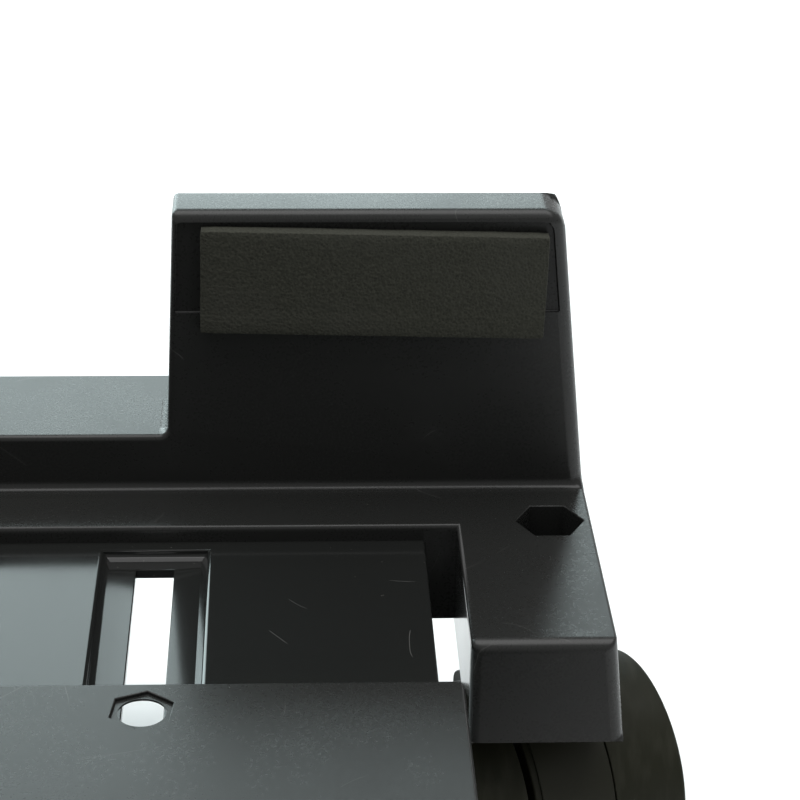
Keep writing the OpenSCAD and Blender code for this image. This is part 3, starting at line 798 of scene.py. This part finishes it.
def pedal_plate(low):
    """The pedal's flat foot plate, its four upright corners round."""
    pedal = block("pedal", (-13 * MM, 13 * MM, low),
                  (13 * MM, 21 * MM, BRAKE_PIN_Z + 1.2 * MM), NYLON)
    bm = bmesh.new()
    bm.from_mesh(pedal.data)
    upright = [e for e in bm.edges if abs(e.verts[0].co.z - e.verts[1].co.z) > 1 * MM]
    bmesh.ops.bevel(bm, geom=upright, offset=2.6 * MM, segments=6, affect="EDGES", profile=0.5)
    bm.to_mesh(pedal.data)
    bm.free()
    return baked(bevel(pedal, 0.6 * MM, 3))


def brake(corner, space):
    """Foot pedal with grip ribs, on a headed pin between the body's cheeks."""
    at_pin = Matrix.Translation((0.0, BRAKE_PIN_Y, BRAKE_PIN_Z))
    low, high = BRAKE_PIN_Z - 1.7 * MM, BRAKE_PIN_Z + 1.7 * MM
    lever = turned("brake_lever_" + corner + "_pedal", [
        (-4.7, 1.56, 0.1), (-4.7, 3.6, 0.4), (4.7, 3.6, 0.4), (4.7, 1.56, 0.1)], NYLON, 48, 3)
    moved(lever, at_pin)
    arm = block("arm", (-4.7 * MM, BRAKE_PIN_Y + 2.4 * MM, low), (4.7 * MM, 14 * MM, high), NYLON)
    combine(lever, "UNION", arm, pedal_plate(low))
    for i in range(PEDAL_RIBS):
        y = (14.6 + 1.6 * i) * MM
        rib = block("rib", (-10.5 * MM, y - 0.4 * MM, BRAKE_PIN_Z + 1.0 * MM),
                    (10.5 * MM, y + 0.4 * MM, high), NYLON)
        combine(lever, "UNION", baked(bevel(rib, 0.25 * MM, 2)))
    node = "brake_lever_" + corner
    fitted(lever, space, node, "caster_plastic", node, 32.0)
    pin = turned("brake_pin_" + corner + "_riveted", [
        (-8.3, 0.0, 0.0), (-8.3, 1.2, 0.2), (-8.0, 1.5, 0.1), (8.0, 1.5, 0.1),
        (8.3, 1.2, 0.2), (8.3, 0.0, 0.0)], STEEL, 32, 3)
    fitted(moved(pin, at_pin), space, "caster_" + corner, "steel", "brake_pin_" + corner)


for corner_name in CORNERS:
    to_world = caster_space(corner_name)
    caster_body(corner_name, to_world)
    caster_metal(corner_name, to_world)
    caster_wheels(corner_name, to_world)
    if corner_name.startswith("front"):
        brake(corner_name, to_world)


# ---------------------------------------------------------------- lock bolt, washer and knob

THREAD_CORE_R = 2.60 * MM
THREAD_CREST_R = 3.13 * MM
THREAD_PITCH = 1.0 * MM
HEAD_R = 5.45 / math.cos(math.pi / 6) * MM
HEAD_TURN_DEG = -23.0


def threaded_rod(name, low, high, core_r, crest_r, pitch):
    """A rod about Z with a modelled helical thread between low and high, run out at both ends."""
    segments = 40
    rows = int((high - low) / pitch * 6)
    bm = bmesh.new()
    rings = []
    for i in range(rows + 1):
        z = low + (high - low) * i / rows
        run_out = min(1.0, (z - low) / pitch, (high - z) / pitch)
        ring = []
        for k in range(segments):
            phase = ((z - low) / pitch - k / segments) % 1.0
            r = core_r + (crest_r - core_r) * run_out * (1.0 - abs(2.0 * phase - 1.0))
            a = math.tau * k / segments
            ring.append(bm.verts.new((r * math.cos(a), r * math.sin(a), z)))
        rings.append(ring)
    for below, above in zip(rings, rings[1:]):
        for k in range(segments):
            n = (k + 1) % segments
            bm.faces.new((below[k], below[n], above[n], above[k]))
    bm.faces.new(rings[0])
    bm.faces.new(rings[-1])
    return object_from(bm, name, STEEL)


def hexagon(radius, turn_deg):
    """The six corners, at radius from the centre."""
    angles = [math.radians(turn_deg) + math.tau * i / 6 for i in range(6)]
    return [(radius * math.cos(a), radius * math.sin(a)) for a in angles]


def lock_bolt():
    """Hexagon head with a chamfered crown, plain neck and thread."""
    bolt = threaded_rod("lock_bolt_threaded", 50.3 * MM, 72.0 * MM,
                        THREAD_CORE_R, THREAD_CREST_R, THREAD_PITCH)
    neck = on_end(lathe("neck", scaled([(71.5, 0.0), (71.5, 3.14), (77.9, 3.14), (77.9, 0.0)]),
                        STEEL, 40))
    head = on_end(prism("head", hexagon(HEAD_R, HEAD_TURN_DEG), 77.6 * MM, 79.8 * MM, STEEL))
    crown = on_end(lathe("crown", scaled([
        (77.5, 0.0), (77.5, 6.6), (79.0, 6.4), (79.8, 5.2), (79.8, 0.0)]), STEEL, 96))
    combine(head, "INTERSECT", crown)
    return combine(bolt, "UNION", neck, head)


def lock_knob():
    """A round hub that flares upwards, with two wings."""
    knob = on_end(turned("lock_knob_winged", [
        (54.1, 3.2, 0.2), (54.1, 6.6, 0.8), (56.5, 8.0, 1.5), (67.1, 8.0, 0.6),
        (67.1, 3.2, 0.2)], MATT, 72, 4))
    for side in (1, -1):
        wing = prism("wing", scaled(rounded([
            (2.0, 65.0, 0.0), (2.0, 55.2, 0.0), (10.0, 54.4, 3.0), (20.0, 56.6, 3.2),
            (20.0, 63.4, 3.2), (10.0, 65.1, 3.0)], 5)), -2.5 * MM, 2.5 * MM, MATT)
        moved(wing, Matrix.Rotation(-math.pi / 2 * side, 4, "Z"))
        combine(knob, "UNION", baked(bevel(wing, 1.1 * MM, 3)))
    return knob


def lock_hardware():
    low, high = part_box("lock_bolt")
    here = Matrix.Translation(((low.x + high.x) / 2, (low.y + high.y) / 2, 0.0))
    fitted(lock_bolt(), here, "front_half", "steel", "lock_bolt", 28.0)
    washer = on_end(turned("lock_washer_turned", [
        (67.3, 3.45, 0.2), (67.3, 12.0, 0.35), (68.9, 12.0, 0.35),
        (68.9, 3.45, 0.2)], STEEL, 96, 3))
    fitted(washer, here, "front_half", "steel", "lock_washer")
    fitted(lock_knob(), here, "lock_knob", "moulding", "lock_knob", 32.0)


lock_hardware()


# ---------------------------------------------------------------- stage, lights and camera

def stage_material(name, color, roughness):
    r = Recipe(name, color, roughness)
    r.tint(r.remap(r.noise(1.3, 3.0), 0.3, 0.7, 0.0, 0.5), tuple(c * 0.985 for c in color))
    r.bump(r.noise(60.0, 2.0), 0.0002, 0.1)
    return r.material


def stage_plane(name, low, high, material):
    """A flat sheet between two corners, thin along Z, or upright when both share one Y."""
    bm = bmesh.new()
    if near(low[1], high[1]):
        corners = [(low[0], low[1], low[2]), (high[0], low[1], low[2]),
                   (high[0], low[1], high[2]), (low[0], low[1], high[2])]
    else:
        corners = [(low[0], low[1], low[2]), (high[0], low[1], low[2]),
                   (high[0], high[1], low[2]), (low[0], high[1], low[2])]
    bm.faces.new([bm.verts.new(c) for c in corners])
    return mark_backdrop(object_from(bm, name, material))


PAPER = stage_material("paper", (0.86, 0.86, 0.86), 0.8)
FLOOR_Z = -0.2 * MM
stage_plane("floor", (-2.5, -2.0, FLOOR_Z), (2.5, 2.2, FLOOR_Z), PAPER)
stage_plane("backdrop", (-2.5, 2.2, FLOOR_Z), (2.5, 2.2, 2.4), PAPER)


def soft_light(name, location, aim, size, watts, color):
    data = bpy.data.lights.new(name, "AREA")
    data.shape = "RECTANGLE"
    data.size, data.size_y = size
    data.energy = watts
    data.color = color
    light = bpy.data.objects.new(name, data)
    bpy.context.scene.collection.objects.link(light)
    light.location = location
    light.rotation_euler = (Vector(aim) - Vector(location)).to_track_quat("-Z", "Y").to_euler()


WHITE = (1.0, 1.0, 1.0)
COOL = (0.80, 0.985, 1.0)
soft_light("overhead", (0.0, 0.1, 2.1), (0.0, 0.1, 0.0), (2.4, 1.6), 42.0, WHITE)
soft_light("rear_softbox", (-0.35, 2.05, 0.86), (0.0, 0.0, 0.40), (1.9, 1.55), 30.0, COOL)
soft_light("left_softbox", (-1.3, 1.9, 1.15), (0.0, 0.0, 0.3), (1.4, 1.7), 34.0, COOL)

world = bpy.data.worlds.new("studio")
bpy.context.scene.world = world
world.use_nodes = True
background = world.node_tree.nodes["Background"]
background.inputs["Color"].default_value = (*WHITE, 1.0)
background.inputs["Strength"].default_value = 0.50
bpy.context.scene.view_settings.view_transform = "Standard"


CAMERA_PLACE = (0.11372, -0.38347, 0.34646)
CAMERA_TURNS_DEG = (26.554, -2.868, 1.001)


def aim_camera():
    """A long lens from the front right, looking down on the right-hand end of the rear half."""
    pitch, yaw, roll = (math.radians(a) for a in CAMERA_TURNS_DEG)
    right = Vector((math.cos(yaw), math.sin(yaw), 0.0))
    level = Vector((-math.sin(yaw), math.cos(yaw), 0.0))
    ahead = level * math.cos(pitch) - Vector((0.0, 0.0, math.sin(pitch)))
    down = -level * math.sin(pitch) - Vector((0.0, 0.0, math.cos(pitch)))
    across = right * math.cos(roll) - down * math.sin(roll)
    below = right * math.sin(roll) + down * math.cos(roll)
    data = bpy.data.cameras.new("camera")
    data.lens = 112.5
    data.sensor_width = 36.0
    data.clip_start = 0.01
    camera = bpy.data.objects.new("camera", data)
    bpy.context.scene.collection.objects.link(camera)
    turn = Matrix((across, -below, -ahead)).transposed().to_4x4()
    camera.matrix_world = Matrix.Translation(CAMERA_PLACE) @ turn
    bpy.context.scene.camera = camera


aim_camera()
